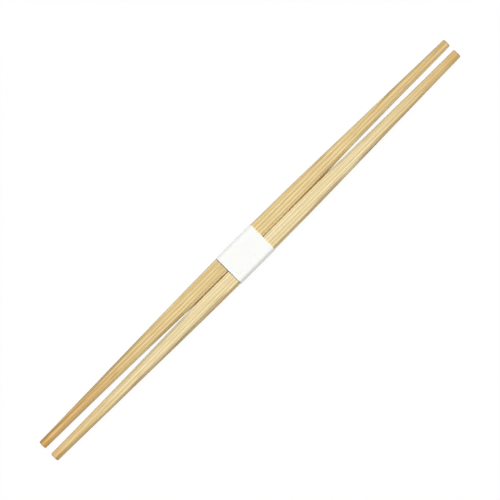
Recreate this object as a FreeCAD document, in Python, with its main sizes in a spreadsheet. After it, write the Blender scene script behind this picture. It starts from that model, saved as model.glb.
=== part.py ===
import FreeCAD, Part

import math
import os

import Sketcher
from FreeCAD import Vector

# A pair of plain disposable chopsticks, thick in the middle and thin at both ends, lying side
# by side and held together by a band of white paper.
#
# The frame: +X runs along the sticks, +Y to the left stick and +Z up.  The origin lies on the
# surface that the pair rests on, under the middle of the sticks.

# Driving sizes, in millimetres and degrees.
SIZES = (
    ("stick_length", 240.0, "length of each stick, end to end"),
    ("stick_width", 7.25, "width of each stick at its middle"),
    ("stick_thickness", 5.2, "thickness of each stick at its middle"),
    ("crown_length", 84.0, "middle stretch where the outer side is one long curve"),
    ("left_end_width", 3.65, "width of the left stick at its ends"),
    ("right_end_width", 3.95, "width of the right stick at its ends"),
    ("meeting_length", 72.0, "straight middle stretch of the inner sides, which meet there"),
    ("inner_taper", 1.35, "how far the inner side comes in at the ends"),
    ("easing_radius", 300.0, "short curve from the straight stretch into the inner taper"),
    ("bow_radius", 4700.0, "long curve of the inner taper"),
    ("end_thickness", 3.8, "thickness of each stick at its ends"),
    ("edge_bevel", 1.2, "leg of the bevel along the four long edges"),
    ("end_bevel", 0.35, "leg of the small bevel round the rim of each end"),
    ("left_splay", 0.09, "degrees that the left stick turns away from the X axis"),
    ("right_splay", 0.14, "degrees that the right stick turns away from the X axis"),
    ("stick_clearance", 0.02, "space between the two sticks where they meet"),
    ("band_width", 20.4, "width of the paper band, measured along the sticks"),
    ("band_offset", -2.5, "place of the band's middle along the sticks"),
    ("paper_thickness", 0.1, "thickness of the paper"),
    ("band_clearance", 0.02, "space between the wood and the paper beside and under the pair"),
    ("band_slack", 0.15, "how much more space a loose band leaves over the pair"),
    ("bend_radius", 0.2, "inside radius where the paper turns over an edge of the wood"),
    ("lap_width", 7.0, "width of the glued overlap under the pair"),
    ("lap_ramp", 0.5, "width of the slope where the outer layer climbs off the overlap"),
    ("blank_margin", 1.0, "how far the raw blank stands proud of the finished faces"),
)

# Lengths that several features share, as the sheet's own expressions.
HALF_LENGTH = "sizes.stick_length / 2"
HALF_THICKNESS = "sizes.stick_thickness / 2"
HALF_MEETING = "sizes.meeting_length / 2"
END_HEIGHT = "sizes.end_thickness / 2"
WOOD_TO_PAPER = f"{HALF_THICKNESS} + sizes.band_clearance"
MIDDLE_HEIGHT = f"{WOOD_TO_PAPER} + 2 * sizes.paper_thickness"

# The ends and centre of a sketched line or arc, and a sketch's own origin and axes.
START, END, CENTRE = 1, 2, 3
ORIGIN = (-1, 1)
HORIZONTAL_AXIS, VERTICAL_AXIS = -1, -2
QUARTER_TURN = math.pi / 2


def size_sheet(doc):
    """The spreadsheet that holds the driving sizes, one row each."""
    sheet = doc.addObject("Spreadsheet::Sheet", "sizes")
    for row, (alias, value, note) in enumerate(SIZES, start=1):
        sheet.set(f"A{row}", alias)
        sheet.set(f"B{row}", str(value))
        sheet.setAlias(f"B{row}", alias)
        sheet.set(f"C{row}", note)
    doc.recompute()


def new_sketch(body, name, role):
    """An empty sketch on one of the body's own origin planes."""
    plane = next(item for item in body.Origin.OriginFeatures if item.Role == role)
    sketch = body.newObject("Sketcher::SketchObject", name)
    sketch.AttachmentSupport = [(plane, "")]
    sketch.MapMode = "FlatFace"
    return sketch


def constrain(sketch, kind, *places):
    return sketch.addConstraint(Sketcher.Constraint(kind, *places))


def dimension(sketch, kind, places, name, expression):
    """Adds a dimension that the sheet drives."""
    index = constrain(sketch, kind, *places, sketch.evalExpression(expression))
    sketch.renameConstraint(index, name)
    sketch.setExpression(f"Constraints.{name}", expression)


def place(sketch, kind, sign, point, name, expression):
    """Sets how far a point lies on the plus or minus side of the sketch's origin."""
    places = (*ORIGIN, *point) if sign > 0 else (*point, *ORIGIN)
    dimension(sketch, kind, places, name, expression)


def add_line(sketch, start, end):
    return sketch.addGeometry(Part.LineSegment(Vector(*start, 0), Vector(*end, 0)))


def add_arc(sketch, centre, radius, middle_angle, half_angle):
    """Adds an arc given by the direction of its middle and half of the turn that it makes."""
    circle = Part.Circle(Vector(*centre, 0), Vector(0, 0, 1), radius)
    arc = Part.ArcOfCircle(circle, middle_angle - half_angle, middle_angle + half_angle)
    return sketch.addGeometry(arc)


def add_loop(sketch, corners):
    """Adds straight sides through the corners and back to the first."""
    following = corners[1:] + corners[:1]
    sides = [add_line(sketch, corner, after) for corner, after in zip(corners, following)]
    for side, after in zip(sides, sides[1:] + sides[:1]):
        constrain(sketch, "Coincident", side, END, after, START)
    return sides


def set_apex(sketch, arc, sign, name, expression):
    """Sets where an arc centred on the vertical axis crosses that axis."""
    height = sign * sketch.evalExpression(expression)
    apex = sketch.addGeometry(Part.Point(Vector(0, height, 0)), True)
    constrain(sketch, "PointOnObject", apex, START, VERTICAL_AXIS)
    constrain(sketch, "PointOnObject", apex, START, arc)
    place(sketch, "DistanceY", sign, (apex, START), name, expression)


def plan_outline(body, end_width):
    """A stick seen from above, its inner side along the X axis and its outer side at +Y.

    The outer side is a long shallow curve in the middle and straight from there to the ends.
    The inner side is straight in the middle, then eases into a slightly bowed taper.
    """
    sketch = new_sketch(body, "PlanOutline", "XY_Plane")
    outer_corner = f"sizes.inner_taper + sizes.{end_width}"
    half, flat, crown, width, inner, outer, easing, bow = (
        sketch.evalExpression(expression)
        for expression in (
            HALF_LENGTH,
            HALF_MEETING,
            "sizes.crown_length / 2",
            "sizes.stick_width",
            "sizes.inner_taper",
            outer_corner,
            "sizes.easing_radius",
            "sizes.bow_radius",
        )
    )
    # First guesses at the slopes, close enough for the sketch to solve them exactly.
    fall = (width - outer) / (half - crown / 2)
    rise = inner / (half - flat) + (half - flat) / (2 * bow)
    crown_radius = crown / math.sin(fall)
    crown_end = width - crown * math.tan(fall / 2)
    eased_x = flat + easing * math.sin(rise)
    eased_y = easing * (1 - math.cos(rise))
    bow_x = eased_x + bow * math.sin(rise)
    bow_y = eased_y - bow * math.cos(rise)
    bow_turn = (half - eased_x) / bow

    meeting_side = add_line(sketch, (-flat, 0), (flat, 0))
    crown_arc = add_arc(sketch, (0, width - crown_radius), crown_radius, QUARTER_TURN, fall)
    constrain(sketch, "Horizontal", meeting_side)
    constrain(sketch, "PointOnObject", meeting_side, START, HORIZONTAL_AXIS)
    constrain(sketch, "PointOnObject", crown_arc, CENTRE, VERTICAL_AXIS)
    set_apex(sketch, crown_arc, 1, "middle_width", "sizes.stick_width")
    place(sketch, "DistanceX", 1, (crown_arc, START), "crown_end", "sizes.crown_length / 2")

    for name, sign in (("front", 1), ("back", -1)):
        near, far = (START, END) if sign > 0 else (END, START)
        ease_angle = -QUARTER_TURN + sign * rise / 2
        bow_angle = QUARTER_TURN + sign * (rise - bow_turn / 2)
        ease = add_arc(sketch, (sign * flat, easing), easing, ease_angle, rise / 2)
        taper = add_arc(sketch, (sign * bow_x, bow_y), bow, bow_angle, bow_turn / 2)
        end = add_line(sketch, (sign * half, inner), (sign * half, outer))
        outside = add_line(sketch, (sign * half, outer), (sign * crown, crown_end))
        constrain(sketch, "Tangent", meeting_side, far, ease, near)
        constrain(sketch, "Tangent", ease, far, taper, far)
        constrain(sketch, "Coincident", taper, near, end, START)
        constrain(sketch, "Coincident", end, END, outside, START)
        constrain(sketch, "Tangent", outside, END, crown_arc, near)
        constrain(sketch, "Vertical", end)
        place(sketch, "DistanceX", sign, (meeting_side, far), f"{name}_meeting", HALF_MEETING)
        place(sketch, "DistanceX", sign, (end, START), f"{name}_end", HALF_LENGTH)
        place(sketch, "DistanceY", 1, (end, START), f"{name}_inner", "sizes.inner_taper")
        place(sketch, "DistanceY", 1, (end, END), f"{name}_outer", outer_corner)
        dimension(sketch, "Radius", (ease,), f"{name}_easing", "sizes.easing_radius")
        dimension(sketch, "Radius", (taper,), f"{name}_bow", "sizes.bow_radius")
    return sketch


def waste_outline(body):
    """A frame round a stick's side view, between its crowned faces and the raw blank."""
    sketch = new_sketch(body, "WasteOutline", "XZ_Plane")
    half = sketch.evalExpression(HALF_LENGTH)
    middle = sketch.evalExpression(HALF_THICKNESS)
    end_height = sketch.evalExpression(END_HEIGHT)
    margin = sketch.evalExpression("sizes.blank_margin")
    come_in = middle - end_height
    radius = (half**2 + come_in**2) / (2 * come_in)
    turn = math.asin(half / radius)

    top = add_arc(sketch, (0, middle - radius), radius, QUARTER_TURN, turn)
    under = add_arc(sketch, (0, radius - middle), radius, -QUARTER_TURN, turn)
    front = add_line(sketch, (half, -end_height), (half, end_height))
    back = add_line(sketch, (-half, end_height), (-half, -end_height))
    for first, second in ((under, front), (front, top), (top, back), (back, under)):
        constrain(sketch, "Coincident", first, END, second, START)
    for name, arc, sign in (("top", top, 1), ("under", under, -1)):
        set_apex(sketch, arc, sign, f"{name}_middle", HALF_THICKNESS)
        for point, side in ((START, sign), (END, -sign)):
            tip = f"{name}_{'front' if side > 0 else 'back'}"
            place(sketch, "DistanceX", side, (arc, point), f"{tip}_end", HALF_LENGTH)
            place(sketch, "DistanceY", sign, (arc, point), f"{tip}_height", END_HEIGHT)

    reach, proud = half + margin, middle + margin
    corners = ((-reach, -proud), (reach, -proud), (reach, proud), (-reach, proud))
    lower, ahead, upper, behind = add_loop(sketch, corners)
    for side, direction in (
        (lower, "Horizontal"),
        (ahead, "Vertical"),
        (upper, "Horizontal"),
        (behind, "Vertical"),
    ):
        constrain(sketch, direction, side)
    long_way = f"{HALF_LENGTH} + sizes.blank_margin"
    high = f"{HALF_THICKNESS} + sizes.blank_margin"
    place(sketch, "DistanceX", 1, (ahead, START), "waste_front", long_way)
    place(sketch, "DistanceX", -1, (behind, START), "waste_back", long_way)
    place(sketch, "DistanceY", 1, (upper, START), "waste_top", high)
    place(sketch, "DistanceY", -1, (lower, START), "waste_under", high)
    return sketch


def edge_names(shape, wanted):
    """The names of the edges of a shape that pass a test."""
    return [f"Edge{index}" for index, edge in enumerate(shape.Edges, 1) if wanted(edge)]


def runs_lengthwise(edge):
    box = edge.BoundBox
    return box.XLength > max(box.YLength, box.ZLength)


def chopstick(doc, name, end_width):
    """One stick: a blank cut to its plan, planed to its side view, then bevelled all round."""
    body = doc.addObject("PartDesign::Body", name)
    body.Label = name

    blank = body.newObject("PartDesign::Pad", "Blank")
    blank.Profile = plan_outline(body, end_width)
    blank.Midplane = True
    blank.setExpression("Length", "sizes.stick_thickness + sizes.blank_margin")
    doc.recompute()

    planed = body.newObject("PartDesign::Pocket", "Planed")
    planed.Profile = waste_outline(body)
    planed.Midplane = True
    planed.setExpression("Length", "2 * (sizes.stick_width + sizes.blank_margin)")
    doc.recompute()
    if planed.Shape.Volume >= blank.Shape.Volume:
        raise RuntimeError(f"{name}: planing took nothing off the blank")

    middle = body.evalExpression("sizes.stick_width / 2")

    def on_the_outer_side(edge):
        return runs_lengthwise(edge) and edge.CenterOfMass.y > middle

    def on_the_inner_side(edge):
        return runs_lengthwise(edge) and edge.CenterOfMass.y < middle

    last = planed
    for step, wanted in (("OuterBevels", on_the_outer_side), ("InnerBevels", on_the_inner_side)):
        bevels = body.newObject("PartDesign::Chamfer", step)
        bevels.Base = (last, edge_names(last.Shape, wanted))
        bevels.setExpression("Size", "sizes.edge_bevel")
        doc.recompute()
        last = bevels

    half = body.evalExpression(HALF_LENGTH)
    at_the_end = 1e-4  # how near to a stick's end its rim lies

    def on_an_end(edge):
        return all(abs(abs(vertex.X) - half) < at_the_end for vertex in edge.Vertexes)

    rims = body.newObject("PartDesign::Chamfer", "EndBevels")
    rims.Base = (last, edge_names(last.Shape, on_an_end))
    rims.setExpression("Size", "sizes.end_bevel")
    doc.recompute()
    return body


def place_stick(body, half_turn, splay, side):
    """Turns a stick about the front end of its straight inner side, where the pair meets.

    The right stick is turned half way round first, so that its outer side faces -Y.
    """
    # Any first turn about Z sets the axis.  The sheet then drives the angle.
    body.Placement.Rotation = FreeCAD.Rotation(Vector(0, 0, 1), QUARTER_TURN)
    swing = f"{HALF_MEETING} * sin(sizes.{splay})"
    body.setExpression("Placement.Rotation.Angle", f"{half_turn} - {side} * sizes.{splay}")
    body.setExpression("Placement.Base.x", f"{HALF_MEETING} * (1 - cos(sizes.{splay}))")
    body.setExpression("Placement.Base.y", f"{side} * ({swing} + sizes.stick_clearance / 2)")
    body.setExpression("Placement.Base.z", MIDDLE_HEIGHT)


def wrap_outline(body, name, layers):
    """The eight-sided line that the paper follows round both sticks, seen along them.

    It lies outside the wood by the clearance and so many thicknesses of paper, and above it by
    the slack as well.  The sticks splay, so it is as wide as they are at the end of the band
    where they are furthest apart.
    """
    sketch = new_sketch(body, name, "YZ_Plane")
    offset = f"(sizes.band_clearance + {layers} * sizes.paper_thickness)"
    beside = f"sizes.stick_width + sizes.stick_clearance / 2 + {offset}"
    lever = f"({HALF_MEETING} - sizes.band_offset + sizes.band_width / 2)"
    left_side = f"{beside} + {lever} * tan(sizes.left_splay)"
    right_side = f"{beside} + {lever} * tan(sizes.right_splay)"
    underside = f"{HALF_THICKNESS} + {offset}"
    upper_side = f"{underside} + sizes.band_slack"
    # A 45 degree bevel moved outward with its neighbours gains this much on each leg.
    bevel_leg = f"sizes.edge_bevel + {offset} * (2 - sqrt(2))"
    left, right, low, high, leg = (
        sketch.evalExpression(expression)
        for expression in (left_side, right_side, underside, upper_side, bevel_leg)
    )

    corners = (
        (leg - right, -low),
        (left - leg, -low),
        (left, leg - low),
        (left, high - leg),
        (left - leg, high),
        (leg - right, high),
        (-right, high - leg),
        (-right, leg - low),
    )
    sides = add_loop(sketch, corners)
    under, left_wall, top, right_wall = sides[0::2]
    constrain(sketch, "Horizontal", under)
    constrain(sketch, "Horizontal", top)
    constrain(sketch, "Vertical", left_wall)
    constrain(sketch, "Vertical", right_wall)
    place(sketch, "DistanceX", 1, (left_wall, START), "left", left_side)
    place(sketch, "DistanceX", -1, (right_wall, START), "right", right_side)
    place(sketch, "DistanceY", 1, (top, START), "top", upper_side)
    place(sketch, "DistanceY", -1, (under, START), "under", underside)
    for corner, bevel, leftward, upward in (
        ("lower_left", sides[1], True, True),
        ("upper_left", sides[3], False, True),
        ("upper_right", sides[5], False, False),
        ("lower_right", sides[7], True, False),
    ):
        for kind, forward in (("DistanceX", leftward), ("DistanceY", upward)):
            first, last = (START, END) if forward else (END, START)
            places = (bevel, first, bevel, last)
            dimension(sketch, kind, places, f"{corner}_{kind}", bevel_leg)
    return sketch


def lap_outline(body):
    """The glued overlap: a second layer under the first, with a slope where they part."""
    sketch = new_sketch(body, "LapOutline", "YZ_Plane")
    half_lap = "sizes.lap_width / 2"
    ramp_end = f"{half_lap} + sizes.lap_ramp"
    first_layer = f"{WOOD_TO_PAPER} + sizes.paper_thickness"
    half, far, upper, lower = (
        sketch.evalExpression(expression)
        for expression in (half_lap, ramp_end, first_layer, MIDDLE_HEIGHT)
    )
    corners = ((-half, -lower), (half, -lower), (far, -upper), (-half, -upper))
    under, ramp, joint, free_edge = add_loop(sketch, corners)
    constrain(sketch, "Horizontal", under)
    constrain(sketch, "Horizontal", joint)
    constrain(sketch, "Vertical", free_edge)
    place(sketch, "DistanceX", -1, (under, START), "free_edge", half_lap)
    place(sketch, "DistanceX", 1, (under, END), "ramp_start", half_lap)
    place(sketch, "DistanceX", 1, (ramp, END), "ramp_end", ramp_end)
    place(sketch, "DistanceY", -1, (joint, START), "first_layer", first_layer)
    place(sketch, "DistanceY", -1, (under, START), "ground", MIDDLE_HEIGHT)
    return sketch


def paper_band(doc):
    """A strip of paper wrapped round both sticks, its ends glued one over the other."""
    body = doc.addObject("PartDesign::Body", "paper_band")
    body.Label = "paper_band"

    wrapped = body.newObject("PartDesign::Pad", "Wrapped")
    wrapped.Profile = wrap_outline(body, "OuterWrap", 1)
    wrapped.Midplane = True
    wrapped.setExpression("Length", "sizes.band_width")
    doc.recompute()

    outer_bends = body.newObject("PartDesign::Fillet", "OuterBends")
    outer_bends.Base = (wrapped, edge_names(wrapped.Shape, runs_lengthwise))
    outer_bends.setExpression("Radius", "sizes.bend_radius + sizes.paper_thickness")
    doc.recompute()

    hollow = body.newObject("PartDesign::Pocket", "Hollow")
    hollow.Profile = wrap_outline(body, "InnerWrap", 0)
    hollow.Midplane = True
    hollow.setExpression("Length", "2 * sizes.band_width")
    doc.recompute()
    if hollow.Shape.Volume >= outer_bends.Shape.Volume:
        raise RuntimeError("paper_band: the hollow took nothing out of the wrap")

    def still_sharp(edge):
        faces = hollow.Shape.ancestorsOfType(edge, Part.Face)
        flat = all(isinstance(face.Surface, Part.Plane) for face in faces)
        return flat and runs_lengthwise(edge)

    inner_bends = body.newObject("PartDesign::Fillet", "InnerBends")
    inner_bends.Base = (hollow, edge_names(hollow.Shape, still_sharp))
    inner_bends.setExpression("Radius", "sizes.bend_radius")
    doc.recompute()

    lap = body.newObject("PartDesign::Pad", "Lap")
    lap.Profile = lap_outline(body)
    lap.Midplane = True
    lap.setExpression("Length", "sizes.band_width")
    doc.recompute()

    body.setExpression("Placement.Base.x", "sizes.band_offset")
    body.setExpression("Placement.Base.z", MIDDLE_HEIGHT)
    return body


def check(doc, bodies):
    """Stops if any feature failed, or a body isn't one sound solid."""
    for item in doc.Objects:
        if "Invalid" in item.State or "Error" in item.State:
            raise RuntimeError(f"{item.Name} failed: {item.State}")
    for sketch in doc.findObjects("Sketcher::SketchObject"):
        if not sketch.FullyConstrained:
            raise RuntimeError(f"{sketch.Name} isn't fully constrained")
    for body in bodies:
        shape = body.Shape
        if shape.isNull() or not shape.isValid() or len(shape.Solids) != 1:
            raise RuntimeError(f"{body.Label} isn't one valid solid")


def main():
    doc = FreeCAD.newDocument("chopsticks")
    size_sheet(doc)
    left = chopstick(doc, "left_chopstick", "left_end_width")
    right = chopstick(doc, "right_chopstick", "right_end_width")
    band = paper_band(doc)
    place_stick(left, 0, "left_splay", 1)
    place_stick(right, 180, "right_splay", -1)
    doc.recompute()

    bodies = (left, right, band)
    check(doc, bodies)
    os.makedirs("parts", exist_ok=True)
    for body in bodies:
        body.Shape.exportStep(f"parts/{body.Label}.step")
        print(f"{body.Label}: {body.Shape.Volume:.1f} mm3")


main()
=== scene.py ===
import math

import bmesh
import bpy
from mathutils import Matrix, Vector, noise


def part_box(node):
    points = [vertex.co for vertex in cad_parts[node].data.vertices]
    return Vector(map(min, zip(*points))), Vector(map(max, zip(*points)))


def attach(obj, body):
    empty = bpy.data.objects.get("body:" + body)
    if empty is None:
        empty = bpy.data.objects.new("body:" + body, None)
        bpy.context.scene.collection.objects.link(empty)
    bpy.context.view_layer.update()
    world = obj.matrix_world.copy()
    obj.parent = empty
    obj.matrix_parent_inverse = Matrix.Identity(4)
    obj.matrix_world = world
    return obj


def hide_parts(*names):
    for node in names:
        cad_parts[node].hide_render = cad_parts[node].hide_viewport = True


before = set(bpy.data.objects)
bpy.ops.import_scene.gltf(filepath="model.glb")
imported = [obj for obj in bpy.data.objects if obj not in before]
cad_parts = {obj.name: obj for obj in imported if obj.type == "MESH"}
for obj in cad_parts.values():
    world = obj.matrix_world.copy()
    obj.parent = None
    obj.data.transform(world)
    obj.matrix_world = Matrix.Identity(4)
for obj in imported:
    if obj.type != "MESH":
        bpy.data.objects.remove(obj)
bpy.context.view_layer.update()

# A pair of plain wooden chopsticks in a band of white paper.  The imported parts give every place
# and size.  Each stick and the band are modelled again here with their finish: soft arrises,
# raised grain, the folds of the paper and its wavy cut edge.

MM = 0.001  # one millimetre in metres
TOUCH = 0.01 * MM  # points nearer to each other than this are in one place
SMOOTH_ANGLE = math.radians(40)  # an edge sharper than this shades as a crease

# The sticks.
EDGE_BEVEL = 1.2 * MM  # leg of the bevel along each long edge
OUTER_EASING = 0.3 * MM  # how far the edges of each outer bevel are rounded
LEFT_INNER_EASING = 0.25 * MM  # the same for the inner bevels of each stick
RIGHT_INNER_EASING = 0.2 * MM
END_EASING = 0.4 * MM  # the same round the rim of each end
LONG_SEGMENTS, RIM_SEGMENTS = 4, 3  # how many steps a long edge and a rim are rounded in
END_CLEARANCE = 0.42 * MM  # nearer to an end than this its bevel hides a stick's sides
STATION_COUNT = 101  # places along a stick where its sides are set
SIDE_SMOOTHING = 4 * MM  # how far along a side its place is averaged
FLAT_CUTS = ((0, 16), (90, 7), (45, 3), (135, 3))  # how each flat leans, and its cuts
FLAT_LEAN = 3  # a flat leans this far from that at most, in degrees

# The relief of the wood: depth, then how long and how wide its ridges are.
FIBRE_RELIEF = (0.016 * MM, 22 * MM, 0.45 * MM)
PLANE_RELIEF = (0.03 * MM, 30 * MM, 4.0 * MM)
SAW_MARKS = (0.06 * MM, 2.5 * MM, 0.3 * MM)  # on the ends: depth, length and width
LEFT_SEED, RIGHT_SEED = 3.1, 17.4  # so that each stick has a relief of its own
END_GRID = 0.16 * MM  # spacing of the points on the sawn ends
FACES_ENDWAYS = 0.999  # the X of a sawn end's normal is at least this
LEANS_ENDWAYS = 0.9  # and that of a point on it this

# Where the sticks meet.
MEETING_FACE = 0.25 * MM  # nearer to the middle than this the sticks are smooth
HALF_SLIT = 0.035 * MM  # half the least width of the dark slit between them
SLIT_OPENING = 0.5  # share by which it is wider towards +X and narrower towards -X
PRESSED_LENGTH = 36 * MM  # as far towards -X as this the band has pressed their faces smooth
PRESSED_SHARE = 0.8  # how much of the relief is gone from them there
PRESSED_FALL = 10  # how suddenly that stops

# The paper band.
PAPER_THICKNESS = 0.1 * MM
SHEET_SHARE = 0.98  # the modelled sheet's share of that
PAPER_LEG = 1.25 * MM  # leg of the paper's slope over the bevel of a stick
PAPER_EASING = 0.42 * MM  # how far its folds are rounded
LAP_HALF = 3.5 * MM  # half the width of the glued overlap
LAP_RAMP = 0.5 * MM  # where the outer layer climbs off the overlap
LAP_EASING = 0.15 * MM  # how far the bends of that climb are rounded
FOLD_SEGMENTS, LAP_SEGMENTS = 4, 2  # how many steps a fold and such a bend are rounded in
FIRST_CORNERS, LAST_CORNERS = slice(1, 9), slice(9, 11)  # the folds, and that climb
STRIP_CUTS = 39  # cuts across the strip's length
RUN_HALVINGS = 4  # how often each run between folds is halved
HIGH_EDGE_WANDER = 0.22 * MM  # how far the cut edge towards +X wanders inwards
LOW_EDGE_WANDER = 0.05 * MM  # the same for the edge towards -X
WANDER_LENGTH = 1.6 * MM
WANDER_FALL = 6  # how suddenly that dies away from the edge
WANDER_SEED, RIPPLE_SEED = 3.7, 1.3  # so that neither follows the other
SAG_DEPTH, SAG_REACH = 0.035 * MM, 1.3 * MM  # the paper's dip over the gap
RIPPLE = (0.02 * MM, 7 * MM, 4 * MM)  # its unevenness: depth, length and width


def deselect_all():
    """The frame arrives with its nodes selected, and an operator acts on all that is."""
    bpy.ops.object.select_all(action="DESELECT")


def select_edges(piece, wanted):
    """Selects the edges, of the mesh in edit mode, whose two ends pass a test."""
    bpy.ops.mesh.select_mode(type="EDGE")
    bpy.ops.mesh.select_all(action="DESELECT")
    mesh = bmesh.from_edit_mesh(piece.data)
    for edge in mesh.edges:
        if wanted(edge.verts[0].co, edge.verts[1].co):
            edge.select_set(True)
    bmesh.update_edit_mesh(piece.data)


def select_points(piece, wanted):
    """Selects the points, of the mesh in edit mode, that pass a test."""
    bpy.ops.mesh.select_mode(type="VERT")
    bpy.ops.mesh.select_all(action="DESELECT")
    mesh = bmesh.from_edit_mesh(piece.data)
    for point in mesh.verts:
        if wanted(point.co):
            point.select_set(True)
    bmesh.update_edit_mesh(piece.data)


def select_sawn_ends(piece):
    """Selects the faces, of the mesh in edit mode, that look along the sticks."""
    bpy.ops.mesh.select_mode(type="FACE")
    bpy.ops.mesh.select_all(action="DESELECT")
    mesh = bmesh.from_edit_mesh(piece.data)
    for face in mesh.faces:
        if abs(face.normal.x) > FACES_ENDWAYS:
            face.select_set(True)
    bmesh.update_edit_mesh(piece.data)


def points_in_edit_mode(piece):
    """Where the points of the mesh in edit mode are."""
    return [point.co.copy() for point in bmesh.from_edit_mesh(piece.data).verts]


def runs_along(first, second):
    """Whether an edge runs along the sticks rather than round them."""
    step = second - first
    return abs(step.x) > step.length / 2


def direction_round(first, second):
    """The direction of an edge that runs round the sticks, in degrees from 0 to 180."""
    step = second - first
    return math.degrees(math.atan2(step.z, step.y)) % 180


def take_the_place_of(piece, node, material):
    """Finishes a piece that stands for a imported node."""
    bpy.ops.object.shade_smooth_by_angle(angle=SMOOTH_ANGLE)
    piece.data.materials.append(material)
    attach(piece, "root")
    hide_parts(node)


# ---------------------------------------------------------------- shape of the sticks


def sides_at(node, x):
    """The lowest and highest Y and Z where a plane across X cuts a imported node."""
    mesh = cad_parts[node].data
    cuts = []
    for edge in mesh.edges:
        first, second = (mesh.vertices[index].co for index in edge.vertices)
        if (first.x - x) * (second.x - x) < 0:
            cuts.append(first.lerp(second, (x - first.x) / (second.x - first.x)))
    low = Vector(min(cut[axis] for cut in cuts) for axis in range(3))
    high = Vector(max(cut[axis] for cut in cuts) for axis in range(3))
    return low, high


def smooth_sides_at(node, x):
    """The same, averaged over a short way along the stick and read clear of its end bevels."""
    low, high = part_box(node)
    first, last = low.x + END_CLEARANCE, high.x - END_CLEARANCE
    near = [min(max(x + step, first), last) for step in (-SIDE_SMOOTHING, 0, SIDE_SMOOTHING)]
    found = [sides_at(node, place) for place in near]
    return tuple(sum((sides[end] for sides in found), Vector()) / len(found) for end in (0, 1))


def stick_blank(name, node):
    """A square bar the size of a packed stick, cut into stations along its length."""
    low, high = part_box(node)
    deselect_all()
    bpy.ops.mesh.primitive_cube_add(size=1, location=(low + high) / 2, scale=high - low)
    stick = bpy.context.object
    stick.name = name
    bpy.ops.object.transform_apply(location=True, rotation=False, scale=True)
    bpy.ops.object.mode_set(mode="EDIT")
    select_edges(stick, runs_along)
    bpy.ops.mesh.subdivide(number_cuts=STATION_COUNT - 2)
    return stick


def shape_sides(stick, node):
    """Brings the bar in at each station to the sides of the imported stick."""
    low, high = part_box(node)
    span = high - low
    middle = (low + high) / 2
    for station in range(STATION_COUNT):
        x = low.x + span.x * station / (STATION_COUNT - 1)
        near, far = smooth_sides_at(node, x)
        centre = Vector((x, middle.y, middle.z))
        select_points(stick, lambda point: abs(point.x - x) < span.x / STATION_COUNT / 4)
        narrowing = (1, (far.y - near.y) / span.y, (far.z - near.z) / span.z)
        bpy.ops.transform.resize(value=narrowing, center_override=centre)
        shift = (near + far) / 2 - centre
        bpy.ops.transform.translate(value=(0, shift.y, shift.z))


def soften_edges(stick, inner_easing):
    """Bevels the four long edges, then eases the bevels' own edges and the rims."""
    select_edges(stick, runs_along)
    bpy.ops.mesh.bevel(offset=EDGE_BEVEL, segments=1, affect="EDGES")
    across = [abs(point.y) for point in points_in_edit_mode(stick)]
    middle = (min(across) + max(across)) / 2

    def faces_the_other(first, second):
        return runs_along(first, second) and abs(first.y + second.y) / 2 < middle

    def faces_away(first, second):
        return runs_along(first, second) and not faces_the_other(first, second)

    select_edges(stick, faces_the_other)
    bpy.ops.mesh.bevel(offset=inner_easing, segments=LONG_SEGMENTS, affect="EDGES")
    select_edges(stick, faces_away)
    bpy.ops.mesh.bevel(offset=OUTER_EASING, segments=LONG_SEGMENTS, affect="EDGES")
    ends = [point.x for point in points_in_edit_mode(stick)]
    low, high = min(ends), max(ends)

    def on_a_rim(first, second):
        return any(abs(first.x - x) < TOUCH and abs(second.x - x) < TOUCH for x in (low, high))

    select_edges(stick, on_a_rim)
    bpy.ops.mesh.bevel(offset=END_EASING, segments=RIM_SEGMENTS, affect="EDGES")


def divide_flats(stick):
    """Divides the flats across the grain, finely enough to carry its relief."""
    for direction, cuts in FLAT_CUTS:

        def crosses_flat(first, second):
            turn = abs(direction_round(first, second) - direction)
            return not runs_along(first, second) and min(turn, 180 - turn) < FLAT_LEAN

        select_edges(stick, crosses_flat)
        bpy.ops.mesh.subdivide(number_cuts=cuts)


def divide_ends(stick):
    """Cuts both end faces into a fine grid, so that they can carry the marks of the saw."""
    points = points_in_edit_mode(stick)
    for axis, away in ((1, (0, 1, 0)), (2, (0, 0, 1))):
        lowest = min(point[axis] for point in points)
        highest = max(point[axis] for point in points)
        for cut in range(1, int((highest - lowest) / END_GRID)):
            place = Vector()
            place[axis] = lowest + cut * END_GRID
            select_sawn_ends(stick)
            bpy.ops.mesh.bisect(plane_co=place, plane_no=away)


def uneven(place, seed):
    """A smooth unevenness from 0 to 1, which differs with the seed."""
    return (1 + noise.noise(Vector(place) + Vector((seed, 0, 0)))) / 2


def grain_depth(x, y, z, seed):
    """How far the flats are sunk between fibres and by the plane."""
    depth = 0
    for deepest, length, width in (FIBRE_RELIEF, PLANE_RELIEF):
        depth += deepest * uneven((x / length, y / width, z / width), seed)
    return depth


def saw_depth(y, z, seed):
    """How far the sawn ends are scored."""
    deepest, length, width = SAW_MARKS
    return deepest * uneven((0, y / length, z / width), seed)


def across_seam(x, y, sunk):
    """The Y of a point once the faces that meet have been pressed smooth.

    It is worked out from the point's Y before and after the relief has sunk it, and never
    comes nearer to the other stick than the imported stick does.
    """
    along = max(-1, min(x / PRESSED_LENGTH, 1))
    if abs(y) < MEETING_FACE and along < 0:
        share = (1 - abs(y) / MEETING_FACE) ** 0.5 * (1 - along**PRESSED_FALL)
        sunk = max(abs(sunk) * (1 - PRESSED_SHARE * share), abs(y))
    return math.copysign(math.hypot(sunk, HALF_SLIT * (1 + SLIT_OPENING * along)), y)


def raise_grain(stick, seed):
    """Sinks the surface a little for its relief, and evens out the faces that meet."""
    for vertex in stick.data.vertices:
        x, y, z = vertex.co
        if abs(vertex.normal.x) > LEANS_ENDWAYS:
            depth = saw_depth(y, z, seed)
        else:
            depth = grain_depth(x, y, z, seed)
        vertex.co -= vertex.normal * depth * min(abs(y) / MEETING_FACE, 1)
        vertex.co.y = across_seam(x, y, vertex.co.y)


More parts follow.
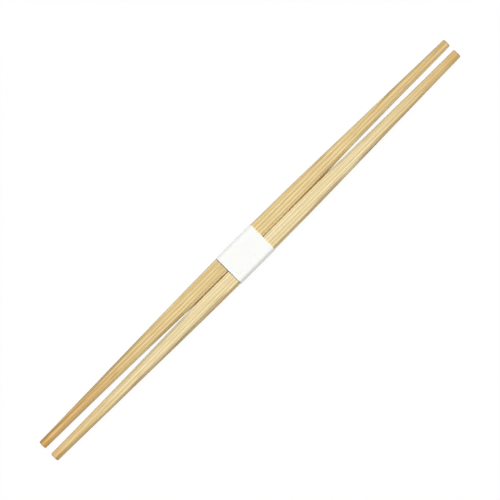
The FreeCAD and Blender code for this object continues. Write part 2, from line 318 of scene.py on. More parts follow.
def chopstick(name, node, material, inner_easing, seed):
    """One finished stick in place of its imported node."""
    stick = stick_blank(name, node)
    shape_sides(stick, node)
    soften_edges(stick, inner_easing)
    divide_flats(stick)
    divide_ends(stick)
    bpy.ops.object.mode_set(mode="OBJECT")
    raise_grain(stick, seed)
    take_the_place_of(stick, node, material)


# ---------------------------------------------------------------- shape of the paper


def band_route(node):
    """Where the strip of paper runs round the sticks, as Y and Z at the middle of its depth.

    It starts under the pair at the end that is tucked in, goes round the right stick, over
    both and down the left stick, and ends on the outside of the overlap.
    """
    low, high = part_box(node)
    half = PAPER_THICKNESS / 2
    right, left = low.y + half, high.y - half
    top = high.z - half
    inner_layer = low.z + PAPER_THICKNESS + half
    outer_layer = low.z + half
    return (
        (LAP_HALF - LAP_RAMP / 2, inner_layer),
        (right + PAPER_LEG, inner_layer),
        (right, inner_layer + PAPER_LEG),
        (right, top - PAPER_LEG),
        (right + PAPER_LEG, top),
        (left - PAPER_LEG, top),
        (left, top - PAPER_LEG),
        (left, inner_layer + PAPER_LEG),
        (left - PAPER_LEG, inner_layer),
        (LAP_HALF + LAP_RAMP, inner_layer),
        (LAP_HALF, outer_layer),
        (-LAP_HALF, outer_layer),
    )


def is_at(point, corner):
    """Whether a point lies on the line along X through a corner of the route."""
    y, z = corner
    return math.hypot(point.y - y, point.z - z) < TOUCH


def paper_strip(name, node):
    """A narrow strip along X, pulled round the pair one fold at a time."""
    low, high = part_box(node)
    route = band_route(node)
    deselect_all()
    bpy.ops.mesh.primitive_plane_add(size=1, location=((low.x + high.x) / 2, 0, 0))
    strip = bpy.context.object
    strip.name = name
    bpy.ops.object.mode_set(mode="EDIT")
    bpy.ops.mesh.select_all(action="SELECT")
    bpy.ops.transform.resize(value=(high.x - low.x, MM, 1))
    for corner, side in zip(route, (1, -1)):
        edge = (side * MM / 2, 0)
        select_points(strip, lambda point: is_at(point, edge))
        step = (0, corner[0] - edge[0], corner[1])
        bpy.ops.transform.translate(value=step)
    last = route[1]
    for corner in route[2:]:
        select_edges(strip, lambda first, second: is_at(first, last) and is_at(second, last))
        step = (0, corner[0] - last[0], corner[1] - last[1])
        bpy.ops.mesh.extrude_region_move(TRANSFORM_OT_translate={"value": step})
        last = corner
    return strip


def fold_and_divide(strip, node):
    """Rounds the folds, and divides the strip so that it can bow and wave."""
    route = band_route(node)

    def on_a_fold(corners):
        def test(first, second):
            return runs_along(first, second) and any(is_at(first, corner) for corner in corners)

        return test

    select_edges(strip, on_a_fold(route[FIRST_CORNERS]))
    bpy.ops.mesh.bevel(offset=PAPER_EASING, segments=FOLD_SEGMENTS, affect="EDGES")
    select_edges(strip, on_a_fold(route[LAST_CORNERS]))
    bpy.ops.mesh.bevel(offset=LAP_EASING, segments=LAP_SEGMENTS, affect="EDGES")
    select_edges(strip, runs_along)
    bpy.ops.mesh.subdivide(number_cuts=STRIP_CUTS)

    def long_run(first, second):
        return not runs_along(first, second) and (second - first).length > MM

    for _ in range(RUN_HALVINGS):
        select_edges(strip, long_run)
        bpy.ops.mesh.subdivide(number_cuts=1)


def settle_paper(strip, node):
    """Bows the paper a little between the folds, and lets its cut edges wander."""
    low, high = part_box(node)
    middle = (low.x + high.x) / 2
    half = (high.x - low.x) / 2
    depth, length, width = RIPPLE
    for vertex in strip.data.vertices:
        x, y, z = vertex.co
        along = (x - middle) / half
        ragged = uneven((0, y / WANDER_LENGTH, z / WANDER_LENGTH), WANDER_SEED)
        inwards = along**WANDER_FALL * ragged
        if along > 0:
            vertex.co.x -= HIGH_EDGE_WANDER * inwards
        else:
            vertex.co.x += LOW_EDGE_WANDER * inwards
        if z > (low.z + high.z) / 2 and abs(y) < high.y - PAPER_LEG:
            sag = math.exp(-((y / SAG_REACH) ** 2))
            ripple = uneven((x / length, y / width, RIPPLE_SEED), 0)
            vertex.co.z -= SAG_DEPTH * sag + depth * ripple


def paper_wrap(name, node, material):
    """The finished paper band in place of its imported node."""
    strip = paper_strip(name, node)
    fold_and_divide(strip, node)
    bpy.ops.object.mode_set(mode="OBJECT")
    bpy.ops.object.transform_apply(location=True, rotation=False, scale=True)
    settle_paper(strip, node)
    depth = strip.modifiers.new("Thickness", "SOLIDIFY")
    depth.thickness = SHEET_SHARE * PAPER_THICKNESS
    depth.offset = 0
    depth.use_even_offset = True
    bpy.ops.object.modifier_apply(modifier=depth.name)
    bpy.ops.object.mode_set(mode="EDIT")
    bpy.ops.mesh.select_all(action="SELECT")
    bpy.ops.mesh.normals_make_consistent(inside=False)
    bpy.ops.object.mode_set(mode="OBJECT")
    take_the_place_of(strip, node, material)


# ---------------------------------------------------------------- finishes

# How often each pattern repeats in a millimetre, along the sticks and then across them.
RING_DRIFT = (0.008, 0.15)  # the slow wander of the growth rings
RAGGED_RING = (0.06, 2.5)  # the uneven edges of the one dark ring
FIBRES = (0.025, 2.4)
HAIRS = (0.07, 11.0)
SHORT_STREAKS = (0.11, 2.8)
LONG_PATCHES = (0.012, 0.33)
PLANER_RIPPLE = (1.1, 0.05)  # left across a stick by the knives of the planer
CUT_FIBRES = (0.5, 15.0)  # the pores of a sawn end
PAPER_FIBRES = (1.3, 5.0)

# Places along the pair and across it, in millimetres.
SPAN_BLEND = 5.0  # over this far to each side a stretch begins and stops
BAND_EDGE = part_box("paper_band")[0].x / MM  # the edge of the paper towards -X
FREE_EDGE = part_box("paper_band")[1].x / MM  # and the edge towards +X
BAND_SHADOW_WIDTH = 0.4  # width of the painted shadow that the first casts on the wood
SEAM_SHADE_MIDDLE = 0.16  # the painted shade along the seam lies more on the left stick
SEAM_SHADE_RISE = (14.0, 36.0)  # towards +X it deepens over this stretch
SEAM_SHADE_FALL = (46.0, 58.0)  # and fades over this one
SEAM_SHADE_LOW = (-14.0, -17.0)  # towards -X it begins here
SHOW_THROUGH = (1.1, 0.2)  # from the free edge: here the painted tint of the wood showing through starts, and is full
TO_THE_END = (1000, 1001)  # for a tone that never fades: far past the end of a stick
WHITE = (1, 1, 1, 1)


def tone(red, green, blue):
    """A colour given as on a paint chart, each part from 0 to 255."""
    parts = (part / 255 for part in (red, green, blue))
    linear = (part / 12.92 if part < 0.04045 else ((part + 0.055) / 1.055) ** 2.4 for part in parts)
    return (*linear, 1)


class Sheet:
    """Short ways to add nodes to a tree and join them."""

    def __init__(self, tree):
        self.tree = tree

    def add(self, kind, inputs=None, **settings):
        """Adds a node.  Its inputs are given values, or the outputs that feed them."""
        node = self.tree.nodes.new(kind)
        for name, value in settings.items():
            setattr(node, name, value)
        for name, value in (inputs or {}).items():
            if isinstance(value, bpy.types.NodeSocket):
                self.tree.links.new(value, node.inputs[name])
            else:
                node.inputs[name].default_value = value
        return node.outputs

    def place(self, group, inputs):
        """Places a finished group, with this material's own values."""
        return self.add("ShaderNodeGroup", inputs, node_tree=group)

    def math(self, operation, *values):
        return self.add("ShaderNodeMath", dict(enumerate(values)), operation=operation)[0]

    def parts(self, vector):
        """The X, Y and Z of a point or a direction."""
        return self.add("ShaderNodeSeparateXYZ", {0: vector})

    def noise(self, point, detail=2.0, roughness=0.5, scale=1.0):
        inputs = {"Vector": point, "Scale": scale, "Detail": detail, "Roughness": roughness}
        return self.add("ShaderNodeTexNoise", inputs)["Fac"]

    def grain(self, point, repeats, detail=2.0, roughness=0.5):
        """The same, drawn out along the sticks."""
        along, across = repeats
        inputs = {0: point, 1: (along, across, across)}
        stretched = self.add("ShaderNodeVectorMath", inputs, operation="MULTIPLY")[0]
        return self.noise(stretched, detail, roughness)

    def step(self, value, low, high, start=0.0, end=1.0):
        """A soft step from start to end as the value goes from low to high."""
        inputs = {"Value": value, 1: low, 2: high, 3: start, 4: end}
        return self.add("ShaderNodeMapRange", inputs, interpolation_type="SMOOTHSTEP")[0]

    def mix(self, share, first, second, blend_type="MIX"):
        """A share of the second colour over the first."""
        inputs = {0: share, 6: first, 7: second}
        return self.add("ShaderNodeMix", inputs, data_type="RGBA", blend_type=blend_type)[2]


def new_group(name, inputs, outputs):
    """A node group with named inputs and outputs.  Returns its sheet and what it is given.

    An input's first value says what it is: none for a point or a direction, four parts for
    a colour, and one number for a value.  Each output is a value, apart from a colour.
    """
    tree = bpy.data.node_groups.new(name, "ShaderNodeTree")
    for socket, value in inputs.items():
        kind = "Vector" if value is None else "Color" if isinstance(value, tuple) else "Float"
        kind = "NodeSocket" + kind
        made = tree.interface.new_socket(name=socket, in_out="INPUT", socket_type=kind)
        if value is not None:
            made.default_value = value
    for socket in outputs:
        kind = "NodeSocketColor" if socket == "Colour" else "NodeSocketFloat"
        tree.interface.new_socket(name=socket, in_out="OUTPUT", socket_type=kind)
    sheet = Sheet(tree)
    return sheet, sheet.add("NodeGroupInput")


def straight_grain_group():
    """Straight growth rings, fibres and short dark streaks, drawn out along X.

    Point is in millimetres from the middle of the tree that the stick was cut from.
    """
    inputs = {
        "Point": None,
        "Ring Width": 1.2,
        "Ring Wander": 0.5,
        "Ring Unevenness": 0.5,
        "Dark Ring": 50.0,
        "Streak Amount": 0.5,
    }
    outputs = ("Rings", "Dark Ring", "Fibres", "Hairs", "Streaks", "Patches", "Height")
    sheet, given = new_group("straight_grain", inputs, outputs)
    point = given["Point"]

    # The distance from the tree's middle, wandering a little, counts the rings.
    apart = sheet.parts(point)
    squares = [sheet.math("MULTIPLY", apart[axis], apart[axis]) for axis in (1, 2)]
    distance = sheet.math("SQRT", sheet.math("ADD", *squares))
    drift = sheet.math("SUBTRACT", sheet.grain(point, RING_DRIFT), 0.5)
    wander = sheet.math("MULTIPLY", drift, given["Ring Wander"])
    reach = sheet.math("ADD", distance, wander)
    even = sheet.math("DIVIDE", reach, given["Ring Width"])
    years = sheet.add("ShaderNodeTexNoise", {"W": even, "Scale": 0.6}, noise_dimensions="1D")
    count = sheet.math("MULTIPLY_ADD", years[0], given["Ring Unevenness"], even)

    # In each ring the wood darkens as it grows, and stops short.  No two are equally dark.
    grown = sheet.math("FRACT", count)
    stopped = sheet.step(grown, 0.9, 0.98, 1.0, 0.0)
    latewood = sheet.math("MULTIPLY", sheet.step(grown, 0.4, 0.86), stopped)
    year = {"W": sheet.math("FLOOR", count)}
    chance = sheet.add("ShaderNodeTexWhiteNoise", year, noise_dimensions="1D")[0]
    rings = sheet.math("MULTIPLY", latewood, sheet.math("MULTIPLY_ADD", chance, 0.65, 0.35))

    # One ring is far darker than the rest, with ragged edges.
    beside = sheet.math("SUBTRACT", reach, given["Dark Ring"])
    ragged = sheet.math("SUBTRACT", sheet.grain(point, RAGGED_RING, 3.0), 0.5)
    beside = sheet.math("MULTIPLY_ADD", ragged, 0.8, beside)
    dark_ring = sheet.step(sheet.math("ABSOLUTE", beside), 0.05, 0.45, 1.0, 0.0)

    fibres = sheet.grain(point, FIBRES, 5.0, 0.75)
    hairs = sheet.grain(point, HAIRS, 3.0, 0.7)
    short = sheet.step(sheet.grain(point, SHORT_STREAKS, 1.0), 0.62, 0.74)
    streaks = sheet.math("MULTIPLY", short, given["Streak Amount"])

    # Rings, fibres, hairs and the planer's ripple stand up, and streaks are sunk.
    height = sheet.math("MULTIPLY_ADD", rings, 0.5, sheet.math("MULTIPLY", fibres, 0.7))
    height = sheet.math("MULTIPLY_ADD", hairs, 0.5, height)
    ripple = sheet.grain(point, PLANER_RIPPLE, 1.0)
    height = sheet.math("MULTIPLY_ADD", ripple, 0.35, height)
    height = sheet.math("SUBTRACT", height, sheet.math("MULTIPLY", streaks, 0.3))
    patches = sheet.step(sheet.grain(point, LONG_PATCHES), 0.35, 0.65)
    found = (rings, dark_ring, fibres, hairs, streaks, patches, height)
    sheet.add("NodeGroupOutput", dict(zip(outputs, found)))
    return sheet.tree


def wood_tones_group():
    """The colours of planed softwood, where the grain has put its rings and fibres."""
    inputs = {
        "Rings": 0.0,
        "Dark Ring": 0.0,
        "Fibres": 0.0,
        "Hairs": 0.0,
        "Streaks": 0.0,
        "Patches": 0.0,
        "Cool Tone": WHITE,
        "Warm Tone": WHITE,
        "Ring Tone": WHITE,
        "Dark Ring Tone": WHITE,
        "Fibre Tone": WHITE,
        "Fibre Strength": 0.8,
        "Streak Tone": WHITE,
    }
    sheet, given = new_group("wood_tones", inputs, ("Colour", "Roughness"))
    colour = sheet.mix(given["Patches"], given["Cool Tone"], given["Warm Tone"])
    colour = sheet.mix(given["Rings"], colour, given["Ring Tone"])
    colour = sheet.mix(given["Dark Ring"], colour, given["Dark Ring Tone"])
    dim = sheet.step(given["Fibres"], 0.42, 0.6, 0.0, given["Fibre Strength"])
    colour = sheet.mix(dim, colour, given["Fibre Tone"])
    fine = sheet.step(given["Hairs"], 0.48, 0.66, 0.0, 0.5)
    colour = sheet.mix(fine, colour, given["Fibre Tone"])
    colour = sheet.mix(given["Streaks"], colour, given["Streak Tone"])
    roughness = sheet.step(given["Fibres"], 0.3, 0.7, 0.62, 0.8)
    sheet.add("NodeGroupOutput", {"Colour": colour, "Roughness": roughness})
    return sheet.tree


def stretch_group():
    """A stretch of a stick, from one place along it to another, with soft ends."""
    inputs = {"Along": 0.0, "From": 0.0, "To": 0.0, "Strength": 1.0}
    sheet, given = new_group("stretch_of_stick", inputs, ("Share",))
    ends = []
    for place in ("From", "To"):
        before = sheet.math("SUBTRACT", given[place], SPAN_BLEND)
        past = sheet.math("ADD", given[place], SPAN_BLEND)
        ends.append(sheet.step(given["Along"], before, past))
    inside = sheet.math("MULTIPLY", ends[0], sheet.math("SUBTRACT", 1.0, ends[1]))
    sheet.add("NodeGroupOutput", {"Share": sheet.math("MULTIPLY", inside, given["Strength"])})
    return sheet.tree


def deepening_group():
    """A deeper tone, which grows from Start to Full and fades from Fade to Gone. On the inner and
    outer faces it is painted shade.
    """
    inputs = {
        "Colour": WHITE,
        "Where": 1.0,
        "Along": 0.0,
        "Start": 0.0,
        "Full": 1.0,
        "Fade": 2.0,
        "Gone": 3.0,
        "Tone": WHITE,
    }
    sheet, given = new_group("deepening", inputs, ("Colour",))
    rise = sheet.step(given["Along"], given["Start"], given["Full"])
    fall = sheet.step(given["Along"], given["Fade"], given["Gone"], 1.0, 0.0)
    deep = sheet.math("MULTIPLY", sheet.math("MULTIPLY", rise, fall), given["Where"])
    colour = sheet.mix(deep, given["Colour"], given["Tone"], "MULTIPLY")
    sheet.add("NodeGroupOutput", {"Colour": colour})
    return sheet.tree


def cut_faces_group():
    """Which face of a stick a place is on.  Outward is 1 where +Y is away from the other."""
    inputs = {"Normal": None, "Outward": 1.0}
    outputs = ("Side", "Outer", "Inner Bevel", "Sawn End")
    sheet, given = new_group("cut_faces", inputs, outputs)
    normal = sheet.parts(given["Normal"])
    endways = sheet.math("ABSOLUTE", normal[0])
    outward = sheet.math("MULTIPLY", normal[1], given["Outward"])
    level = sheet.math("ABSOLUTE", normal[2])
    inward = sheet.step(outward, -0.66, -0.3, 1.0, 0.0)
    found = {
        "Side": sheet.step(level, 0.3, 0.72, 1.0, 0.0),
        "Outer": sheet.step(outward, 0.3, 0.66),
        "Inner Bevel": sheet.math("MULTIPLY", inward, sheet.step(level, 0.4, 0.65)),
        "Sawn End": sheet.step(endways, 0.12, 0.45),
    }
    sheet.add("NodeGroupOutput", found)
    return sheet.tree


def seam_shade_group():
    """Painted shade in the groove where the two sticks meet, most of all past the band."""
    inputs = {"Along": 0.0, "Across": 0.0, "Reach": 0.5}
    sheet, given = new_group("painted_seam_shade", inputs, ("Share",))
    away = sheet.math("ABSOLUTE", sheet.math("SUBTRACT", given["Across"], SEAM_SHADE_MIDDLE))
    full = sheet.math("MULTIPLY", given["Reach"], 0.3)
    near = sheet.step(away, full, given["Reach"], 1.0, 0.0)
    rise = sheet.step(given["Along"], *SEAM_SHADE_RISE, 0.15, 1.0)
    fall = sheet.step(given["Along"], *SEAM_SHADE_FALL, 1.0, 0.3)
    low = sheet.step(given["Along"], *SEAM_SHADE_LOW, 0.0, 0.55)
    strength = sheet.math("MAXIMUM", sheet.math("MULTIPLY", rise, fall), low)
    sheet.add("NodeGroupOutput", {"Share": sheet.math("MULTIPLY", near, strength)})
    return sheet.tree


def band_shadow_group():
    """Painted shadow: the dark line that the edge of the paper casts on the wood towards -X."""
    inputs = {"Colour": WHITE, "Along": 0.0, "Tone": WHITE}
    sheet, given = new_group("painted_band_shadow", inputs, ("Colour",))
    full, start = BAND_EDGE - 0.6 * BAND_SHADOW_WIDTH, BAND_EDGE - BAND_SHADOW_WIDTH
    begins = sheet.step(given["Along"], start, full)
    stops = sheet.step(given["Along"], BAND_EDGE, BAND_EDGE + 0.5 * BAND_SHADOW_WIDTH, 1.0, 0.0)
    band_shadow = sheet.math("MULTIPLY", begins, stops)
    colour = sheet.mix(band_shadow, given["Colour"], given["Tone"], "MULTIPLY")
    sheet.add("NodeGroupOutput", {"Colour": colour})
    return sheet.tree


def end_grain_group():
    """The dull brown of a sawn end, with its pores and its rings cut across."""
    inputs = {
        "Colour": WHITE,
        "Where": 0.0,
        "Point": None,
        "Rings": 0.0,
        "Dark Tone": WHITE,
        "Light Tone": WHITE,
        "Ring Tone": WHITE,
    }
    sheet, given = new_group("end_grain", inputs, ("Colour",))
    pores = sheet.step(sheet.grain(given["Point"], CUT_FIBRES, 3.0, 0.7), 0.4, 0.62)
    cut = sheet.mix(pores, given["Dark Tone"], given["Light Tone"])
    cut = sheet.mix(sheet.math("MULTIPLY", given["Rings"], 0.8), cut, given["Ring Tone"])
    covered = sheet.math("MULTIPLY", given["Where"], 0.95)
    sheet.add("NodeGroupOutput", {"Colour": sheet.mix(covered, given["Colour"], cut)})
    return sheet.tree


def paper_fibre_group():
    """The cloudy mottling, loose fibres and tooth of uncoated paper."""
    sheet, given = new_group("paper_fibre", {"Point": None}, ("Cloud", "Tooth"))
    point = given["Point"]
    fibres = sheet.grain(point, PAPER_FIBRES, 3.0, 0.7)
    specks = sheet.math("MULTIPLY", sheet.noise(point, 2.0, 0.5, 14.0), 0.5)
    tooth = sheet.math("MULTIPLY_ADD", fibres, 0.6, specks)
    cloud = sheet.noise(point, 3.0, 0.6, 0.9)
    sheet.add("NodeGroupOutput", {"Cloud": cloud, "Tooth": tooth})
    return sheet.tree


def new_material(name):
    """An empty material.  Returns it with its sheet."""
    material = bpy.data.materials.new(name)
    material.use_nodes = True
    material.node_tree.nodes.clear()
    return material, Sheet(material.node_tree)


def in_millimetres(sheet, point, middle=(0, 0, 0), turn=0.0):
    """A place on a piece in millimetres, from a pattern's own middle and turned to it."""
    inputs = {
        "Vector": point,
        "Location": middle,
        "Rotation": (0, 0, math.radians(turn)),
        "Scale": (1 / MM, 1 / MM, 1 / MM),
    }
    return sheet.add("ShaderNodeMapping", inputs, vector_type="POINT")[0]


def matt_surface(sheet, colour, roughness, gloss, height, bump):
    """The shader and the output of a matt finish with a fine relief."""
    strength, distance = bump
    inputs = {"Height": height, "Strength": strength, "Distance": distance}
    inputs = {
        "Base Color": colour,
        "Roughness": roughness,
        "Specular IOR Level": gloss,
        "Normal": sheet.add("ShaderNodeBump", inputs)[0],
    }
    surface = sheet.add("ShaderNodeBsdfPrincipled", inputs)[0]
    sheet.add("ShaderNodeOutputMaterial", {"Surface": surface})


def wood_material(name, groups, look):
    """Planed, unvarnished softwood."""

    def deepen(colour, where, stretches):
        """Gives the colour a deeper tone on stretches of one face of the stick."""
        for rise, fall, deeper in stretches:
            inputs = {"Colour": colour, "Where": where, "Along": along, "Tone": deeper}
            inputs["Start"], inputs["Full"] = rise
            inputs["Fade"], inputs["Gone"] = fall
            colour = sheet.place(groups["deepening"], inputs)[0]
        return colour

    material, sheet = new_material(name)
    coordinates = sheet.add("ShaderNodeTexCoord")
    along, across = sheet.parts(in_millimetres(sheet, coordinates["Object"]))[:2]
    tree_point = in_millimetres(sheet, coordinates["Object"], look["tree_middle"], look["turn"])
    grain = sheet.place(groups["grain"], {"Point": tree_point, **look["grain"]})
    faces = sheet.place(
        groups["faces"], {"Normal": coordinates["Normal"], "Outward": look["outward"]}
    )

    # The dark ring comes to the surface on some stretches only.
    shown = 0.0
    for start, end, strength in look["dark_ring_spans"]:
        inputs = {"Along": along, "From": start, "To": end, "Strength": strength}
        shown = sheet.math("ADD", shown, sheet.place(groups["stretch"], inputs)[0])
    inputs = {name: grain[name] for name in ("Rings", "Fibres", "Hairs", "Streaks", "Patches")}
    inputs["Dark Ring"] = sheet.math("MULTIPLY", grain["Dark Ring"], shown)
    tones = sheet.place(groups["tones"], {**inputs, **look["tones"]})

    # Painted light makes the inner bevels paler, and painted shade darkens stretches of them.
    bevel = sheet.math("MULTIPLY", faces["Inner Bevel"], look["inner_bevel_lightening"])
    colour = sheet.mix(bevel, tones["Colour"], look["inner_bevel_light"])
    colour = deepen(colour, faces["Inner Bevel"], look["inner_bevel_shade"])
    colour = deepen(colour, 1.0, look["deepening"])

    # Painted shade: the steep sides and the arrises that turn down to them are darker than the top
    # and bottom.
    colour = sheet.mix(faces["Side"], colour, look["side"], "MULTIPLY")
    # Painted shade on stretches of the outer faces.
    colour = deepen(colour, faces["Outer"], look["outer_face_shade"])
    # Painted shade along the groove where the sticks meet.
    inputs = {"Along": along, "Across": across, "Reach": look["seam_shade_reach"]}
    seam_shade = sheet.place(groups["seam_shading"], inputs)[0]
    colour = sheet.mix(seam_shade, colour, look["seam_shade_tone"], "MULTIPLY")
    # Painted shadow of the paper's edge on the wood towards -X.
    inputs = {"Colour": colour, "Along": along, "Tone": look["band_shadow"]}
    colour = sheet.place(groups["band_shadow"], inputs)[0]
    inputs = {"Colour": colour, "Where": faces["Sawn End"], "Point": tree_point}
    inputs["Rings"] = grain["Rings"]
    colour = sheet.place(groups["end"], {**inputs, **look["end"]})[0]
    matt_surface(sheet, colour, tones["Roughness"], 0.25, grain["Height"], (0.5, 0.03 * MM))
    return material


def paper_material(name, fibre_group):
    """Thin white uncoated paper."""
    material, sheet = new_material(name)
    point = in_millimetres(sheet, sheet.add("ShaderNodeTexCoord")["Object"])
    fibre = sheet.place(fibre_group, {"Point": point})
    colour = sheet.mix(fibre["Cloud"], tone(251, 253, 249), tone(254, 254, 251))

    # Painted light towards its free edge: a cream tint for the wood showing through it a little.
    along = sheet.parts(point)[0]
    starts, full = (FREE_EDGE - inside for inside in SHOW_THROUGH)
    show_through_tint = sheet.step(along, starts, full)
    colour = sheet.mix(show_through_tint, colour, tone(253, 246, 229))
    roughness = sheet.step(fibre["Cloud"], 0.3, 0.7, 0.8, 0.92)
    matt_surface(sheet, colour, roughness, 0.2, fibre["Tooth"], (0.3, 0.02 * MM))
    return material


# ---------------------------------------------------------------- floor, light and camera

FLOOR_SIZE = 6  # in metres
FLOOR_TONE = (0.6, 0.6, 0.6, 1)  # as the light on the pair finds it
PLAIN_TONE = (0.98, 0.98, 0.98, 1)  # as the camera does, where the pair shades it
PLAIN_GLOW = 0.94  # the share of plain white over that
SHADED_SIDES = (2.5, 5.5)  # in millimetres: the glow starts this far out to each side
SHADED_HIGH = (42.0, 54.0)  # and here along the pair towards +X
SHADED_LOW = (-32.0, -40.0)  # and towards -X
LAMP_STRENGTH = 2.99
LAMP_SPREAD = math.radians(50)
TOWARD_LAMP = Vector((0.09, 0.15, 1))
ROOM_LIGHT = 0.05
LENS, SENSOR = 200, 36  # in millimetres
VIEW_WIDTH = 210.35 * MM
VIEW_HEIGHT = 2.8 * MM  # the height above the floor at which the view is that wide
VIEW_TURN = math.radians(-44.956)
VIEW_MIDDLE = (-0.02 * MM, -0.23 * MM)  # sideways and upwards in the view
FARTHEST = 20  # in metres


def plain_rays(sheet):
    """Where a ray comes straight from the camera, or by way of a mirror or glass."""
    path = sheet.add("ShaderNodeLightPath")
    either = sheet.math("MAXIMUM", path["Is Camera Ray"], path["Is Glossy Ray"])
    return sheet.math("MAXIMUM", either, path["Is Transmission Ray"])


def floor():
    """A wide white floor that keeps a faint shadow of the pair."""
    deselect_all()
    bpy.ops.mesh.primitive_plane_add(size=FLOOR_SIZE, location=(0, 0, 0))
    ground = bpy.context.object
    ground.name = "floor"
    material, sheet = new_material("white_floor")
    plain = plain_rays(sheet)
    inputs = {
        "Base Color": sheet.mix(plain, FLOOR_TONE, PLAIN_TONE),
        "Roughness": 0.9,
        "Specular IOR Level": 0,
    }
    lit = sheet.add("ShaderNodeBsdfPrincipled", inputs)[0]
    glow = sheet.add("ShaderNodeEmission", {"Color": WHITE, "Strength": 1.0})[0]

    # Straight under the pair the floor has only the light that reaches it.
    place = sheet.parts(in_millimetres(sheet, sheet.add("ShaderNodeTexCoord")["Object"]))
    sideways = sheet.step(sheet.math("ABSOLUTE", place[1]), *SHADED_SIDES)
    past_high = sheet.step(place[0], *SHADED_HIGH)
    past_low = sheet.step(place[0], *SHADED_LOW)
    endways = sheet.math("MAXIMUM", past_high, past_low)
    open_floor = sheet.math("MAXIMUM", sideways, endways)
    share = sheet.math("MULTIPLY", sheet.math("MULTIPLY", plain, open_floor), PLAIN_GLOW)
    seen = sheet.add("ShaderNodeMixShader", {0: share, 1: lit, 2: glow})[0]

    # Seen from below, it isn't there.
    behind = sheet.add("ShaderNodeNewGeometry")["Backfacing"]
    clear = sheet.add("ShaderNodeBsdfTransparent")[0]
    surface = sheet.add("ShaderNodeMixShader", {0: behind, 1: seen, 2: clear})[0]
    sheet.add("ShaderNodeOutputMaterial", {"Surface": surface})
    ground.data.materials.append(material)


def lights():
    """A wide soft lamp above and a little to one side, in an evenly lit room."""
    data = bpy.data.lights.new("soft_lamp", "SUN")
    data.energy = LAMP_STRENGTH
    data.angle = LAMP_SPREAD
    lamp = bpy.data.objects.new("soft_lamp", data)
    bpy.context.scene.collection.objects.link(lamp)
    lamp.rotation_euler = TOWARD_LAMP.to_track_quat("Z", "Y").to_euler()

    world = bpy.data.worlds.new("white_room")
    world.use_nodes = True
    bpy.context.scene.world = world
    world.node_tree.nodes.clear()
    sheet = Sheet(world.node_tree)
    strength = sheet.math("MULTIPLY_ADD", plain_rays(sheet), 1 - ROOM_LIGHT, ROOM_LIGHT)
    background = sheet.add("ShaderNodeBackground", {"Color": WHITE, "Strength": strength})[0]
    sheet.add("ShaderNodeOutputWorld", {"Surface": background})


def camera():
    """A long lens straight above the pair, which lies from corner to corner of the view."""
    data = bpy.data.cameras.new("camera")
    data.sensor_width = SENSOR
    data.lens = LENS
    data.clip_end = FARTHEST
    sideways = Vector((math.cos(VIEW_TURN), math.sin(VIEW_TURN), 0))
    upward = Vector((-math.sin(VIEW_TURN), math.cos(VIEW_TURN), 0))
    seer = bpy.data.objects.new("camera", data)
    seer.location = VIEW_MIDDLE[0] * sideways + VIEW_MIDDLE[1] * upward
    seer.location.z = VIEW_HEIGHT + VIEW_WIDTH * LENS / SENSOR
    seer.rotation_euler = (0, 0, VIEW_TURN)
    bpy.context.scene.collection.objects.link(seer)
    bpy.context.scene.camera = seer


# ---------------------------------------------------------------- the object

# Places along the sticks are in millimetres, towards +X.  A stretch of deeper tone gives where
# it grows, where it fades and the tone.
LEFT_LOOK = {
    "tree_middle": (0, 47.7, 26),
    "turn": -0.09,
    "outward": 1,
    "grain": {
        "Ring Width": 1.2,
        "Ring Wander": 0.5,
        "Ring Unevenness": 0.5,
        "Dark Ring": 57.4,
        "Streak Amount": 0.5,
    },
    "dark_ring_spans": ((-58, -38, 0.5), (38, 62, 0.75)),
    "tones": {
        "Cool Tone": tone(250, 231, 176),
        "Warm Tone": tone(246, 221, 163),
        "Ring Tone": tone(176, 136, 72),
        "Dark Ring Tone": tone(150, 104, 46),
        "Fibre Tone": tone(214, 185, 126),
        "Fibre Strength": 0.8,
        "Streak Tone": tone(166, 122, 64),
    },
    # Below: painted light on the inner bevels, and painted shade on them, the sides, the outer
    # faces, the seam and the band's edge.
    "inner_bevel_lightening": 0.45,
    "inner_bevel_light": tone(252, 232, 182),
    "deepening": (
        ((-48, -104), TO_THE_END, tone(240, 224, 204)),
        ((-112, -118), TO_THE_END, tone(248, 236, 212)),
        ((72, 110), TO_THE_END, tone(247, 241, 235)),
    ),
    "side": tone(212, 205, 190),
    "inner_bevel_shade": (
        ((-33, -41), (-48, -66), tone(224, 219, 206)),
        ((40, 46), (54, 60), tone(242, 230, 216)),
        ((60, 70), (77, 82), tone(236, 235, 230)),
    ),
    "outer_face_shade": (
        ((-54, -70), (-84, -100), tone(226, 230, 232)),
        ((92, 104), (110, 116), tone(240, 238, 233)),
        ((110, 117), TO_THE_END, tone(240, 238, 232)),
    ),
    "seam_shade_reach": 0.6,
    "seam_shade_tone": tone(196, 168, 128),
    "band_shadow": tone(146, 150, 172),
    "end": {
        "Dark Tone": tone(150, 122, 84),
        "Light Tone": tone(196, 168, 124),
        "Ring Tone": tone(124, 94, 58),
    },
}
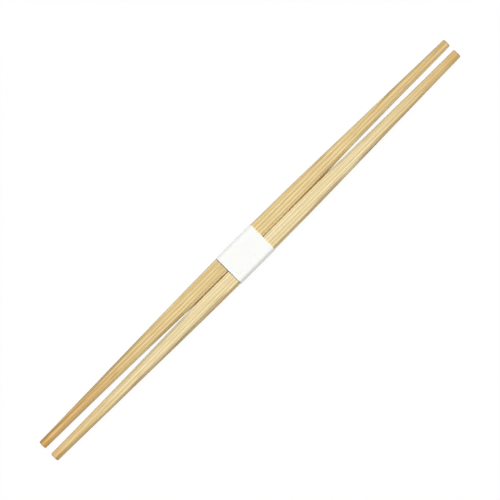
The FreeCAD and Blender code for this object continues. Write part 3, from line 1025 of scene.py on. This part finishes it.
RIGHT_LOOK = {
    "tree_middle": (13, -62.1, 40),
    "turn": -0.14,
    "outward": -1,
    "grain": {
        "Ring Width": 1.1,
        "Ring Wander": 0.5,
        "Ring Unevenness": 0.5,
        "Dark Ring": 81.5,
        "Streak Amount": 0.5,
    },
    "dark_ring_spans": ((-62, -20, 0.75), (32, 50, 0.65), (60, 74, 0.8)),
    "tones": {
        "Cool Tone": tone(252, 241, 200),
        "Warm Tone": tone(251, 234, 189),
        "Ring Tone": tone(196, 160, 98),
        "Dark Ring Tone": tone(146, 108, 60),
        "Fibre Tone": tone(226, 202, 148),
        "Fibre Strength": 0.7,
        "Streak Tone": tone(180, 138, 80),
    },
    # Below: painted light on the inner bevels, and painted shade on them, the sides, the outer
    # faces, the seam and the band's edge.
    "inner_bevel_lightening": 0.3,
    "inner_bevel_light": tone(255, 246, 210),
    "deepening": (
        ((-56, -112), TO_THE_END, tone(243, 230, 210)),
        ((-112, -118), TO_THE_END, tone(251, 243, 230)),
        ((52, 116), TO_THE_END, tone(240, 228, 206)),
        ((111, 117), TO_THE_END, tone(251, 241, 226)),
    ),
    "side": tone(214, 206, 188),
    "inner_bevel_shade": (
        ((-35, -42), (-66, -96), tone(229, 230, 226)),
        ((44, 54), (62, 100), tone(238, 239, 236)),
    ),
    "outer_face_shade": (
        ((-57, -66), (-72, -79), tone(230, 221, 210)),
        ((-88, -100), TO_THE_END, tone(234, 232, 218)),
        ((50, 56), (74, 80), tone(243, 241, 238)),
    ),
    "seam_shade_reach": 0.4,
    "seam_shade_tone": tone(226, 210, 180),
    "band_shadow": tone(160, 168, 186),
    "end": {
        "Dark Tone": tone(150, 122, 84),
        "Light Tone": tone(196, 168, 124),
        "Ring Tone": tone(124, 94, 58),
    },
}

wood_groups = {
    "grain": straight_grain_group(),
    "tones": wood_tones_group(),
    "stretch": stretch_group(),
    "deepening": deepening_group(),
    "faces": cut_faces_group(),
    "seam_shading": seam_shade_group(),
    "band_shadow": band_shadow_group(),
    "end": end_grain_group(),
}
left_wood = wood_material("left_wood", wood_groups, LEFT_LOOK)
right_wood = wood_material("right_wood", wood_groups, RIGHT_LOOK)
white_paper = paper_material("white_paper", paper_fibre_group())

chopstick("left_stick", "left_chopstick", left_wood, LEFT_INNER_EASING, LEFT_SEED)
chopstick("right_stick", "right_chopstick", right_wood, RIGHT_INNER_EASING, RIGHT_SEED)
paper_wrap("paper_wrap", "paper_band", white_paper)

floor()
lights()
camera()
bpy.context.scene.view_settings.view_transform = "Standard"
